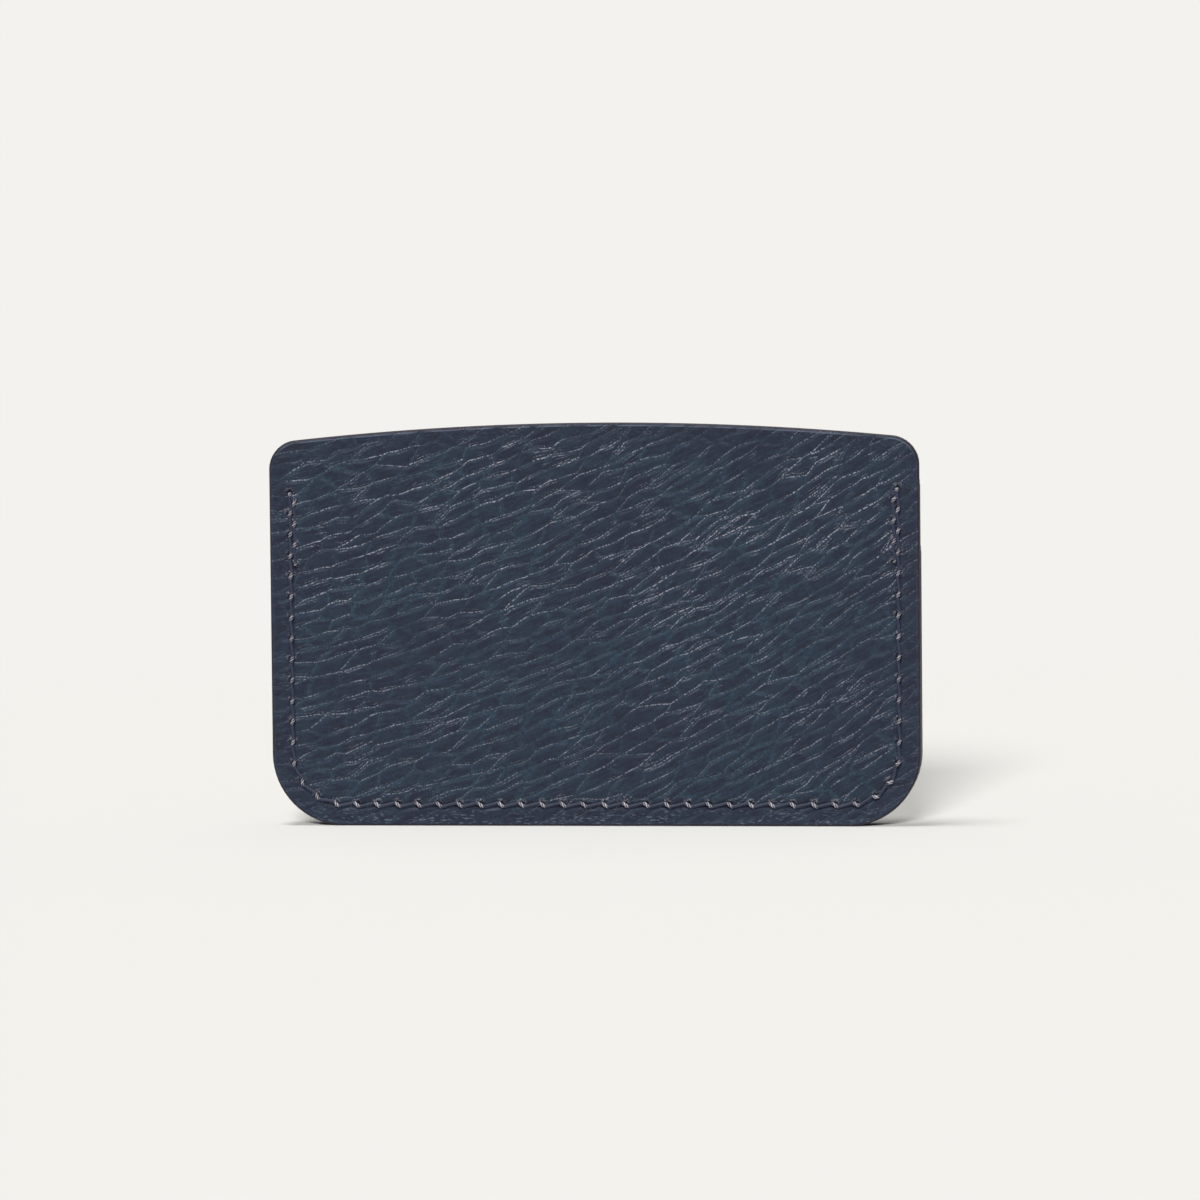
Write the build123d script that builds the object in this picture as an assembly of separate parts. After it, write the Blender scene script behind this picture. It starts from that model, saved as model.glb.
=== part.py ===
"""Flat leather card holder: a tall rear panel, two pocket panels and one stitched U-shaped seam.

The object stands on its lower edge. X is its width, Y its thickness and Z its height. The origin is
the middle of the lower edge, half way through the stack. The plain rear face looks towards -Y and
the pockets open upwards on the +Y side. All sizes are in millimetres.
"""

from build123d import *
from math import cos, pi, sin, sqrt
import os

# What it carries: a standard bank card.
card_width = 85.6
card_thickness = 0.76

# Outline of the rear panel, seen square on.
width = 102.0
height = 63.0
crown_rise = 2.8
top_corner_radius = 4.6
bottom_corner_radius = 11.4

# Pocket mouths.
mouth_corner_radius = 1.0
centre_mouth_above_seam = 1.4
front_mouth_stitches_down = 2.75

# Thickness of each leather, and the room that each pocket leaves around a card.
rear_leather = 1.2
pocket_leather = 1.0
lining_leather = 0.3
centre_card_slack = 0.24
front_card_slack = 0.14

# The seam: one lockstitch line that runs down, along and up again, with a second row at each end.
seam_margin = 3.3
seam_end_drop = 7.8
nominal_stitch = 3.3
thread_diameter = 0.6
backtack_holes = 4
welt_wall = 1.2

# Named clearances.
strand_gap = 0.05
leg_swell = 0.03
hole_clearance = 0.03
run_cover = 0.05
leg_cover = 0.02
groove_clearance = 0.05
groove_side_clearance = 0.08
run_end_gap = 0.04
edge_standoff = 0.45

# Sizes that follow from those above.
thread_radius = thread_diameter / 2
leg_radius = thread_radius + leg_swell
hole_radius = leg_radius + hole_clearance
backtack_offset = thread_diameter + strand_gap
welt_width = seam_margin + backtack_offset + hole_radius + welt_wall
centre_gap = card_thickness + centre_card_slack
front_gap = card_thickness + front_card_slack
side_top = height - crown_rise
seam_top = side_top - seam_end_drop
seam_radius = bottom_corner_radius - seam_margin
seam_half_width = width / 2 - seam_margin
side_run = seam_top - bottom_corner_radius
corner_run = seam_radius * pi / 2
seam_length = 2 * (side_run + corner_run) + width - 2 * bottom_corner_radius
stitch_count = round(seam_length / nominal_stitch)
stitch = seam_length / stitch_count
centre_mouth = seam_top + centre_mouth_above_seam
front_mouth = seam_top - front_mouth_stitches_down * stitch

# Where each layer starts, counted from the rear face towards +Y.
stack = 2 * pocket_leather + rear_leather + 3 * lining_leather + centre_gap + front_gap
rear_face = -stack / 2
rear_lining_start = rear_face + rear_leather
centre_welt_start = rear_lining_start + lining_leather
centre_lining_start = centre_welt_start + centre_gap
centre_panel_start = centre_lining_start + lining_leather
centre_face = centre_panel_start + pocket_leather
front_lining_start = centre_face + front_gap
front_panel_start = front_lining_start + lining_leather
front_face = front_panel_start + pocket_leather

# The two threads lock half way between the rear face and the centre panel's face.
lock_level = (rear_face + centre_face) / 2

# A straight stitch cuts across the round of the corner by this much, so the groove is wider by it.
corner_sag = seam_radius - sqrt(seam_radius**2 - (stitch / 2) ** 2)
groove_half_width = thread_radius + corner_sag + groove_side_clearance
groove_depth = run_cover + thread_diameter + groove_clearance
groove_top = seam_top + hole_radius + groove_side_clearance
backtack_end = seam_top - (backtack_holes - 0.5) * stitch


def layer_plane(level):
    """The plane at one Y level on which a layer's outline is drawn, with its X and Y along X and Z."""
    return Plane(origin=(0, level, 0), x_dir=(1, 0, 0), z_dir=(0, -1, 0))


def layer(outline, level, thickness):
    """One flat layer that starts at a Y level and grows towards +Y."""
    return extrude(layer_plane(level) * outline, amount=-thickness)


def u_shape(inset, top):
    """The holder's sides and round lower corners, drawn in by an inset, with a straight top."""
    box = Pos(0, (inset + top) / 2) * Rectangle(width - 2 * inset, top - inset)
    lower_corners = box.vertices().group_by(Axis.Y)[0]
    return fillet(lower_corners, bottom_corner_radius - inset)


def rear_outline():
    """The rear panel: straight sides, round lower corners and a gently crowned top."""
    half = width / 2
    edge = Line((-half, 0), (half, 0))
    edge += Line((half, 0), (half, side_top))
    edge += ThreePointArc((half, side_top), (0, height), (-half, side_top))
    edge += Line((-half, side_top), (-half, 0))
    shape = make_face(edge)
    shape = fillet(shape.vertices().group_by(Axis.Y)[0], bottom_corner_radius)
    return fillet(shape.vertices().group_by(Axis.Y)[-1], top_corner_radius)


def pocket_outline(mouth):
    """A pocket panel: the same lower outline, cut off straight at its mouth."""
    shape = u_shape(0, mouth)
    return fillet(shape.vertices().group_by(Axis.Y)[-1], mouth_corner_radius)


def welt_outline(mouth):
    """The U-shaped spacer that keeps a pocket's two walls a card apart."""
    return pocket_outline(mouth) - u_shape(welt_width, mouth + welt_width)


def seam_point(distance):
    """The place (x, z) on the seam line at a distance along it from its upper left end."""
    mirrored = distance > seam_length / 2
    along = seam_length - distance if mirrored else distance
    if along <= side_run:
        x, z = -seam_half_width, seam_top - along
    elif along <= side_run + corner_run:
        turn = (along - side_run) / seam_radius
        x = bottom_corner_radius - width / 2 - seam_radius * cos(turn)
        z = bottom_corner_radius - seam_radius * sin(turn)
    else:
        x = bottom_corner_radius - width / 2 + along - side_run - corner_run
        z = seam_margin
    return (-x, z) if mirrored else (x, z)


def seam_row():
    """Every needle hole of the main row, from the upper left end to the upper right end."""
    return [seam_point(number * stitch) for number in range(stitch_count + 1)]


def backtack_row(side):
    """The needle holes of the short second row beside one end of the seam; side is -1 or 1."""
    x = side * (seam_half_width - backtack_offset)
    return [(x, seam_top - (number + 0.5) * stitch) for number in range(backtack_holes)]


def hole_places():
    """Every needle hole of the three rows, each one once."""
    return seam_row() + backtack_row(-1) + backtack_row(1)


def stitches():
    """The two ends of every stitch: along the main row, then from each of its ends along a second row."""
    main = seam_row()
    rows = [main, [main[0], *backtack_row(-1)], [main[-1], *backtack_row(1)]]
    return [pair for row in rows for pair in zip(row, row[1:])]


def needle_holes(top):
    """Round holes of every stitch that lies below a height."""
    return [Pos(x, z) * Circle(hole_radius) for x, z in hole_places() if z < top]


def side_band(side, bottom, top):
    """The wider stretch of the groove where the second row lies beside the main row."""
    outer = seam_half_width + groove_half_width
    inner = seam_half_width - backtack_offset - groove_half_width
    return Pos(side * (outer + inner) / 2, (bottom + top) / 2) * Rectangle(outer - inner, top - bottom)


def seam_groove(top):
    """The shallow groove that the thread sinks into, up to a height."""
    band = u_shape(seam_margin - groove_half_width, top)
    band -= u_shape(seam_margin + groove_half_width, top + groove_half_width)
    low = backtack_end - hole_radius - groove_side_clearance
    return band + side_band(-1, low, top) + side_band(1, low, top)


def sheet(outline, level, thickness, top):
    """A layer with the needle holes of the stitches that pass through it."""
    return layer(outline - needle_holes(top), level, thickness)


def rear_panel():
    """The tall grained panel that forms the plain rear face."""
    panel = sheet(rear_outline(), rear_face, rear_leather, height)
    return panel - layer(seam_groove(groove_top), rear_face, groove_depth)


def centre_panel():
    """The panel between the pockets, grooved where the seam shows above the front pocket."""
    panel = sheet(pocket_outline(centre_mouth), centre_panel_start, pocket_leather, height)
    strips = side_band(-1, front_mouth, groove_top) + side_band(1, front_mouth, groove_top)
    return panel - layer(strips, centre_face - groove_depth, groove_depth)


def front_panel():
    """The short outer panel of the front pocket."""
    panel = sheet(pocket_outline(front_mouth), front_panel_start, pocket_leather, front_mouth)
    return panel - layer(seam_groove(front_mouth), front_face - groove_depth, groove_depth)


def strand(start, end):
    """A straight piece of thread between two points, held back a little from each of them."""
    path = Vector(*end) - Vector(*start)
    reach = path.normalized()
    base = Plane(origin=Vector(*start) + reach * run_end_gap, z_dir=reach)
    length = path.length - 2 * run_end_gap
    return base * Cylinder(thread_radius, length, align=(Align.CENTER, Align.CENTER, Align.MIN))


def leg(x, z, outer):
    """The thread inside one needle hole, from the lock to just under the leather's face."""
    base = layer_plane((lock_level + outer) / 2) * Pos(x, z)
    return base * Cylinder(leg_radius, abs(outer - lock_level))


def needle_thread():
    """The thread on the rear face, with its legs down to the lock, as one solid."""
    level = rear_face + run_cover + thread_radius
    pieces = [leg(x, z, rear_face + leg_cover) for x, z in hole_places()]
    pieces += [strand((x0, level, z0), (x1, level, z1)) for (x0, z0), (x1, z1) in stitches()]
    return Part() + pieces


def face_at(z):
    """The Y level of the leather that the thread lies on at a height on the pocket side."""
    return front_face if z < front_mouth else centre_face


def step_strands(upper, lower):
    """A stitch that climbs from the centre panel over the front pocket's mouth."""
    turn_z = front_mouth + edge_standoff
    share = (turn_z - lower[2]) / (upper[2] - lower[2])
    turn = (lower[0] + share * (upper[0] - lower[0]), lower[1], turn_z)
    bend = Pos(*turn) * Sphere(leg_radius)
    return [bend, strand(upper, turn), strand(turn, lower)]


def bobbin_thread():
    """The thread on the pocket side, which crosses the mouth of the front pocket, as one solid."""
    sink = run_cover + thread_radius
    pieces = [leg(x, z, face_at(z) - leg_cover) for x, z in hole_places()]
    for ends in stitches():
        lower, upper = sorted(((x, face_at(z) - sink, z) for x, z in ends), key=lambda end: end[2])
        crosses = lower[2] < front_mouth < upper[2]
        pieces += step_strands(upper, lower) if crosses else [strand(lower, upper)]
    return Part() + pieces


def linings_and_welts():
    """The thin linings behind each panel and the spacers between them."""
    return {
        "rear_lining": sheet(rear_outline(), rear_lining_start, lining_leather, height),
        "centre_welt": sheet(welt_outline(centre_mouth), centre_welt_start, centre_gap, height),
        "centre_lining": sheet(
            pocket_outline(centre_mouth), centre_lining_start, lining_leather, height
        ),
        "front_welt": sheet(welt_outline(front_mouth), centre_face, front_gap, front_mouth),
        "front_lining": sheet(
            pocket_outline(front_mouth), front_lining_start, lining_leather, front_mouth
        ),
    }


def all_parts():
    """Every piece of the card holder, by name."""
    return {
        "rear_panel": rear_panel(),
        "centre_panel": centre_panel(),
        "front_panel": front_panel(),
        "needle_thread": needle_thread(),
        "bobbin_thread": bobbin_thread(),
        **linings_and_welts(),
    }


os.makedirs("parts", exist_ok=True)
for name, piece in all_parts().items():
    export_step(piece, f"parts/{name}.step")
    print(name, "solids", len(piece.solids()), "volume", round(piece.volume, 2))

pocket_width = width - 2 * welt_width
print("stack", round(stack, 2), "stitch", round(stitch, 3), "stitches", stitch_count)
print("pocket width", round(pocket_width, 2), "room beside a card", round(pocket_width - card_width, 2))
print("mouths", round(centre_mouth, 2), round(front_mouth, 2))
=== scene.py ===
"""A flat leather card holder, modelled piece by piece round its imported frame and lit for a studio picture.

Sizes are in millimetres while a piece is modelled and are turned into metres as it is finished.
X is the holder's width, Y its thickness and Z its height; the plain rear face looks towards -Y.
"""

import logging
import math
from collections.abc import Iterable
from dataclasses import dataclass
from enum import Enum
from functools import cached_property, reduce

import bmesh
import bpy
from bmesh.types import BMEdge, BMesh, BMFace, BMLayerItem, BMVert
from bpy.types import Material, NodeSocket, NodeTree, Object
from mathutils import Matrix, Quaternion, Vector, kdtree


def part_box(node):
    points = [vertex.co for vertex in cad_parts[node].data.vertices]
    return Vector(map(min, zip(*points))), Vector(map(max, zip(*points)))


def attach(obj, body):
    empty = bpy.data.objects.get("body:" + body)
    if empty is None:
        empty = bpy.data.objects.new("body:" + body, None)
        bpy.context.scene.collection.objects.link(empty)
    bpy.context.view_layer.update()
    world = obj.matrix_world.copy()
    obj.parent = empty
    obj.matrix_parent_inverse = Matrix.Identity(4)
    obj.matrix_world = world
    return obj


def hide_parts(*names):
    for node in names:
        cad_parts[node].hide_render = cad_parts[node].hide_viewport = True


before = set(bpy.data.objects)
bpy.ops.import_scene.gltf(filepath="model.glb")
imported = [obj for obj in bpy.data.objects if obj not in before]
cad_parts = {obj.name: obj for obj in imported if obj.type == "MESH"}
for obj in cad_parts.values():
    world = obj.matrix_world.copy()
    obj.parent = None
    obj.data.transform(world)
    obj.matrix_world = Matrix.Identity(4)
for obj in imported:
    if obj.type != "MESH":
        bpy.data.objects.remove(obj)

LOG = logging.getLogger("card_holder")
MM = 0.001
BODY = "root"
LEVEL_RISE = 0.001

# The kinds of node that the finishes are made from.
MATH = "ShaderNodeMath"
VECTOR = "ShaderNodeVectorMath"
JOIN = "ShaderNodeCombineXYZ"
PARTS = "ShaderNodeSeparateXYZ"
NOISE = "ShaderNodeTexNoise"
CELLS = "ShaderNodeTexVoronoi"
RANGE = "ShaderNodeMapRange"
MIX = "ShaderNodeMix"
MADE_FOR = "ShaderNodeAttribute"
BUMP = "ShaderNodeBump"


def put(tree: NodeTree, kind: str, *values, out=0, named: dict | None = None, **settings) -> NodeSocket:
    """Adds one node, with its settings and its links.

    Args:
        tree: The node tree that the node goes into.
        kind: The node's type name.
        values: Sockets or plain values for its inputs, in order; None leaves an input alone.
        out: The index or name of the output that is wanted.
        named: More inputs, by name or index.
        settings: Properties of the node itself.

    Returns:
        The wanted output socket.
    """
    made = tree.nodes.new(kind)
    for name, value in settings.items():
        setattr(made, name, value)
    given = {index: value for index, value in enumerate(values) if value is not None}
    for key, value in {**given, **(named or {})}.items():
        if isinstance(value, NodeSocket):
            tree.links.new(value, made.inputs[key])
        else:
            made.inputs[key].default_value = value
    return made.outputs[out]


def fold(tree: NodeTree, operation: str, *values) -> NodeSocket:
    """Takes sockets and plain values together two by two, such as into their product or their maximum."""
    return reduce(lambda so_far, value: put(tree, MATH, so_far, value, operation=operation), values)


def linear(colour: str) -> tuple[float, float, float, float]:
    """An sRGB hex colour as linear red, green, blue and a full alpha."""
    parts = [int(colour[at : at + 2], 16) / 255 for at in (0, 2, 4)]
    return (*(p / 12.92 if p <= 0.04045 else ((p + 0.055) / 1.055) ** 2.4 for p in parts), 1.0)


def coats(tree: NodeTree, base: str, *layers: tuple[NodeSocket, str]) -> NodeSocket:
    """A base colour with coats over it.

    Args:
        tree: The material's node tree.
        base: The base, as an sRGB hex colour.
        layers: For each coat, the socket of its share and its own colour.

    Returns:
        The colour's socket.
    """
    colour = linear(base)
    for share, over in layers:
        colour = put(tree, MIX, named={0: share, 6: colour, 7: linear(over)}, data_type="RGBA", out=2)
    return colour


class Side(Enum):
    """Which way the good face of a layer looks: the value is the sign of its Y direction."""

    REAR = -1
    POCKET = 1


# ---------------------------------------------------------------------------------------- shapes


@dataclass(frozen=True)
class Outline:
    """The holder seen square on: straight sides, round corners and a level or gently crowned top."""

    width: float
    side_top: float
    rise: float = LEVEL_RISE
    lower_radius: float = 11.4
    upper_radius: float = 1.0

    @cached_property
    def half(self) -> float:
        """Half of the width."""
        return self.width / 2

    @cached_property
    def height(self) -> float:
        """The height at the middle of the top edge."""
        return self.side_top + self.rise

    @cached_property
    def crown_radius(self) -> float:
        """The radius of the top edge's long arc."""
        return (self.half**2 + self.rise**2) / (2 * self.rise)

    @cached_property
    def crown_centre(self) -> float:
        """The height of the long arc's centre, far below the holder."""
        return self.height - self.crown_radius

    @cached_property
    def corner(self) -> Vector:
        """The centre of the right upper corner's round, as (x, z)."""
        x = self.half - self.upper_radius
        reach = self.crown_radius - self.upper_radius
        return Vector((x, self.crown_centre + math.sqrt(reach**2 - x**2)))

    @cached_property
    def lower_corner(self) -> Vector:
        """The centre of the right lower corner's round, as (x, z)."""
        return Vector((self.half - self.lower_radius, self.lower_radius))

    @cached_property
    def crown_normal(self) -> Vector:
        """The direction out of the top edge where it meets the right upper corner."""
        return Vector((self.corner.x, self.corner.y - self.crown_centre)).normalized()

    def measure(self, x: float, z: float) -> tuple[float, Vector]:
        """How far a place is inside the edge, and the way out.

        Args:
            x: Across, from the middle.
            z: Up, from the lower edge.

        Returns:
            The distance to the edge, positive inside, and the outward direction as (x, z).
        """
        place = Vector((abs(x), z))
        low = place - self.lower_corner
        high = place - self.corner
        crown = self.crown_normal
        if low.x > 0 and low.y < 0:
            gap, out = self.lower_radius - low.length, low.normalized()
        elif high.x > 0 and high.y > 0 and high.x * crown.y > high.y * crown.x:
            gap, out = self.upper_radius - high.length, high.normalized()
        else:
            up = place - Vector((0, self.crown_centre))
            choices = [
                (self.half - place.x, Vector((1, 0))),
                (z, Vector((0, -1))),
                (self.crown_radius - up.length, up.normalized()),
            ]
            gap, out = min(choices, key=lambda choice: choice[0])
        return gap, Vector((math.copysign(out.x, x) if out.x else 0.0, out.y))

    def cuts(self, inset: float) -> dict[str, list[tuple[Vector, Vector]]]:
        """The straight cuts that trim a rectangle to this outline, drawn in by an inset.

        Args:
            inset: How far inside the edge the cuts lie.

        Returns:
            For each round part, its cuts as pairs of a point and an outward direction, both (x, z).
        """
        found: dict[str, list[tuple[Vector, Vector]]] = {"crown": []}
        crown_angle = math.atan2(self.crown_normal.x, self.crown_normal.y)
        steps = range(-14, 15) if self.rise > LEVEL_RISE else ()
        for step in steps:
            turn = crown_angle * step / 14
            out = Vector((math.sin(turn), math.cos(turn)))
            found["crown"].append((Vector((0, self.crown_centre)) + out * (self.crown_radius - inset), out))
        rounds = {
            "lower": (self.lower_corner, self.lower_radius, -math.pi / 2, 0.0, 16),
            "upper": (self.corner, self.upper_radius, 0.0, math.pi / 2 - crown_angle, 9),
        }
        for name, (centre, radius, start, end, count) in rounds.items():
            for side, way in (("left", -1), ("right", 1)):
                turns = [start + (end - start) * (step + 0.5) / count for step in range(count)]
                outs = [Vector((math.cos(turn), math.sin(turn))) for turn in turns]
                found[f"{name} {side}"] = [
                    (Vector((way * (centre + out * (radius - inset)).x, (centre + out * (radius - inset)).y)),
                     Vector((way * out.x, out.y)))
                    for out in outs
                ]
        return found


@dataclass(frozen=True)
class SeamLine:
    """The one U-shaped line of stitches, with a doubled row at each of its ends."""

    width: float
    corner_radius: float
    top: float
    margin: float = 3.3
    nominal_stitch: float = 3.3
    backtack_holes: int = 4
    backtack_offset: float = 0.65

    @property
    def half(self) -> float:
        """From the middle to the seam's sides."""
        return self.width / 2 - self.margin

    @property
    def radius(self) -> float:
        """The seam's own corner radius."""
        return self.corner_radius - self.margin

    @property
    def side(self) -> float:
        """The length of one straight side."""
        return self.top - self.corner_radius

    @property
    def length(self) -> float:
        """From end to end along the seam."""
        return 2 * (self.side + self.radius * math.pi / 2) + self.width - 2 * self.corner_radius

    @property
    def stitches(self) -> int:
        """The number of stitches in the main row."""
        return round(self.length / self.nominal_stitch)

    @property
    def pitch(self) -> float:
        """From hole to hole."""
        return self.length / self.stitches

    def point(self, along: float) -> Vector:
        """The place (x, z) at a distance along the seam from its upper left end."""
        mirrored = along > self.length / 2
        here = self.length - along if mirrored else along
        quarter = self.radius * math.pi / 2
        centre = self.corner_radius - self.width / 2
        if here <= self.side:
            x, z = -self.half, self.top - here
        elif here <= self.side + quarter:
            turn = (here - self.side) / self.radius
            x, z = centre - self.radius * math.cos(turn), self.corner_radius - self.radius * math.sin(turn)
        else:
            x, z = centre + here - self.side - quarter, self.margin
        return Vector((-x if mirrored else x, z))

    def main_row(self) -> list[Vector]:
        """The needle holes of the main row, from the upper left end to the upper right end."""
        return [self.point(number * self.pitch) for number in range(self.stitches + 1)]

    def backtack(self, side: int) -> list[Vector]:
        """The needle holes of the second row at one end; side is -1 or 1."""
        x = side * (self.half - self.backtack_offset)
        return [Vector((x, self.top - (number + 0.5) * self.pitch)) for number in range(self.backtack_holes)]

    def holes(self) -> list[Vector]:
        """Every needle hole."""
        return [*self.main_row(), *self.backtack(-1), *self.backtack(1)]


# -------------------------------------------------------------------------------------- finishes


@dataclass(frozen=True)
class CellRows:
    """Long flat grain cells in rows that lean and bend with the hide, parted by creases."""

    length: float
    height: float
    lean: float
    bend: float
    shift: float
    disorder: float = 0.78
    rake: float = 0.45
    steeper: float = 0.10

    def creases(self, tree: NodeTree, x: NodeSocket, z: NodeSocket) -> tuple[NodeSocket, NodeSocket]:
        """Adds the nodes that find the nearest crease.

        Args:
            tree: The node tree.
            x: Socket with the place across, in mm.
            z: Socket with the place upwards, in mm.

        Returns:
            The distance to the crease in mm, and 1 where the crease runs a little steeper than the rows,
            falling to 0 where it crosses that direction.
        """
        slope = put(tree, MATH, x, self.bend, self.lean, operation="MULTIPLY_ADD")
        level = fold(tree, "SUBTRACT", z, fold(tree, "MULTIPLY", x, slope))
        raked = put(tree, MATH, z, -self.rake, x, operation="MULTIPLY_ADD")
        across = put(tree, MATH, raked, 1 / self.length, self.shift, operation="MULTIPLY_ADD")
        upward = put(tree, MATH, level, 1 / self.height, self.shift, operation="MULTIPLY_ADD")
        place = put(tree, JOIN, across, upward)
        drawn = {"Scale": 1.0, "Randomness": self.disorder}
        first, second = (
            put(tree, CELLS, place, named=drawn, voronoi_dimensions="2D", feature=rank, out="Distance")
            for rank in ("F1", "F2")
        )

        # From one cell's middle to the next, turned from the sheared grid back onto the hide.
        ends = (second.node.outputs["Position"], first.node.outputs["Position"])
        step = put(tree, VECTOR, *ends, operation="SUBTRACT")
        scaled = put(tree, VECTOR, step, (1 / self.length, 1 / self.height, 0.0), operation="MULTIPLY")
        row_part, level_part = put(tree, PARTS, scaled, out="X"), put(tree, PARTS, scaled, out="Y")
        local_lean = put(tree, MATH, x, 2 * self.bend, self.lean, operation="MULTIPLY_ADD")
        sideways = fold(tree, "SUBTRACT", row_part, fold(tree, "MULTIPLY", local_lean, level_part))
        upwards = put(tree, MATH, row_part, -self.rake, level_part, operation="MULTIPLY_ADD")
        way = put(tree, JOIN, sideways, upwards)
        size = put(tree, VECTOR, way, operation="LENGTH", out="Value")
        near, far = (fold(tree, "POWER", distance, 2.0) for distance in (first, second))
        gap = fold(tree, "DIVIDE", fold(tree, "SUBTRACT", far, near), fold(tree, "MULTIPLY", size, 2.0))

        flow = put(tree, MATH, local_lean, -1.0, -self.steeper, operation="MULTIPLY_ADD")
        across_flow = put(tree, VECTOR, put(tree, JOIN, flow, 1.0), operation="NORMALIZE")
        matched = put(tree, VECTOR, way, across_flow, operation="DOT_PRODUCT", out="Value")
        matched = put(tree, MATH, matched, operation="ABSOLUTE")
        return gap, fold(tree, "DIVIDE", matched, size)


@dataclass(frozen=True)
class Ramp:
    """A smooth change from one level to another while a value grows from start to end."""

    start: float
    end: float
    low: float = 0.0
    high: float = 1.0

    def of(self, tree: NodeTree, value: NodeSocket) -> NodeSocket:
        """The level at a socket's value."""
        limits = {1: self.start, 2: self.end, 3: self.low, 4: self.high}
        return put(tree, RANGE, value, named=limits, interpolation_type="SMOOTHSTEP")


@dataclass(frozen=True)
class Patches:
    """A soft patchy field up to 1: the size of a patch in mm, and the noise levels of its floor and of 1.

    The seed moves the pattern, so that no two fields match.
    """

    size: tuple[float, float]
    start: float
    end: float
    seed: float
    detail: float = 1.0
    floor: float = 0.0

    def of(self, tree: NodeTree, x: NodeSocket, z: NodeSocket) -> NodeSocket:
        """The field at a place, given by its sockets across and upwards in mm."""
        across = put(tree, MATH, x, 1 / self.size[0], self.seed, operation="MULTIPLY_ADD")
        upward = put(tree, MATH, z, 1 / self.size[1], self.seed, operation="MULTIPLY_ADD")
        where = put(tree, JOIN, across, upward)
        level = put(tree, NOISE, where, named={"Scale": 1.0, "Detail": self.detail}, noise_dimensions="2D")
        return Ramp(self.start, self.end, self.floor).of(tree, level)


@dataclass(frozen=True)
class HideGrain:
    """The tumbled grain of a cow hide: main rows of cells, and finer strands in them."""

    rows: CellRows = CellRows(length=4.5, height=2.15, lean=0.38, bend=0.0020, shift=0.0)
    strands: CellRows = CellRows(length=3.4, height=0.95, lean=0.40, bend=0.0020, shift=17.3)
    wander: float = 1.1
    wander_size: float = 9.0

    def place(self, tree: NodeTree, position: NodeSocket) -> tuple[NodeSocket, NodeSocket]:
        """The place across and upwards in mm, made to wander a little.

        Args:
            tree: The node tree.
            position: Socket with the place in metres.

        Returns:
            The sockets of x and z.
        """
        spot = put(tree, VECTOR, position, (1 / MM, 0.0, 1 / MM), operation="MULTIPLY")
        octaves = {"Scale": 1 / self.wander_size, "Detail": 3.0, "Roughness": 0.5}
        drift = put(tree, NOISE, spot, named=octaves, out="Color")
        centred = put(tree, VECTOR, drift, (0.5, 0.5, 0.5), operation="SUBTRACT")
        moved = put(tree, VECTOR, centred, (2 * self.wander,) * 3, spot, operation="MULTIPLY_ADD")
        return put(tree, PARTS, moved, out="X"), put(tree, PARTS, moved, out="Z")


@dataclass(frozen=True)
class MarginStreaksAndHighlight:
    """Pale marks in the margin outside the seam: streaks, most of them low down, and a painted highlight
    along the top edge, where the rounded edge faces the light from above.
    """

    streak: Patches = Patches((0.9, 0.26), 0.54, 0.70, 2.9, detail=2.0)
    clump: Patches = Patches((5.0, 1.2), 0.36, 0.60, 9.4)
    outside_seam: Ramp = Ramp(2.3, 3.1, 1.0, 0.0)
    low_down: Ramp = Ramp(0.8, 3.2, 1.0, 0.25)
    # The painted highlight along the top edge.
    line_inset: float = 0.46
    line: Ramp = Ramp(0.03, 0.18, 1.0, 0.0)
    high_up: Ramp = Ramp(57.0, 60.0, 0.12)
    broken: Patches = Patches((3.0, 3.0), 0.25, 0.6, 4.3, detail=3.0)

    def of(self, tree: NodeTree, spot: NodeSocket, rim: NodeSocket) -> NodeSocket:
        """The share of the pale streaks and of the painted edge highlight, from 0 to 1.

        Args:
            tree: The material's node tree.
            spot: Socket with the place in mm.
            rim: Socket with the distance to the edge in mm.

        Returns:
            The socket of the streaks and the highlight.
        """
        x, z = put(tree, PARTS, spot, out="X"), put(tree, PARTS, spot, out="Z")
        spots = (self.streak.of(tree, x, z), self.clump.of(tree, x, z))
        streaks = fold(tree, "MULTIPLY", *spots, self.outside_seam.of(tree, rim), self.low_down.of(tree, z))
        # A painted highlight along the top edge, where the rounded edge would catch the light.
        off = fold(tree, "SUBTRACT", rim, self.line_inset)
        near = self.line.of(tree, put(tree, MATH, off, operation="ABSOLUTE"))
        line = fold(tree, "MULTIPLY", near, self.high_up.of(tree, z), self.broken.of(tree, x, z))
        return fold(tree, "MAXIMUM", streaks, line)


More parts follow.
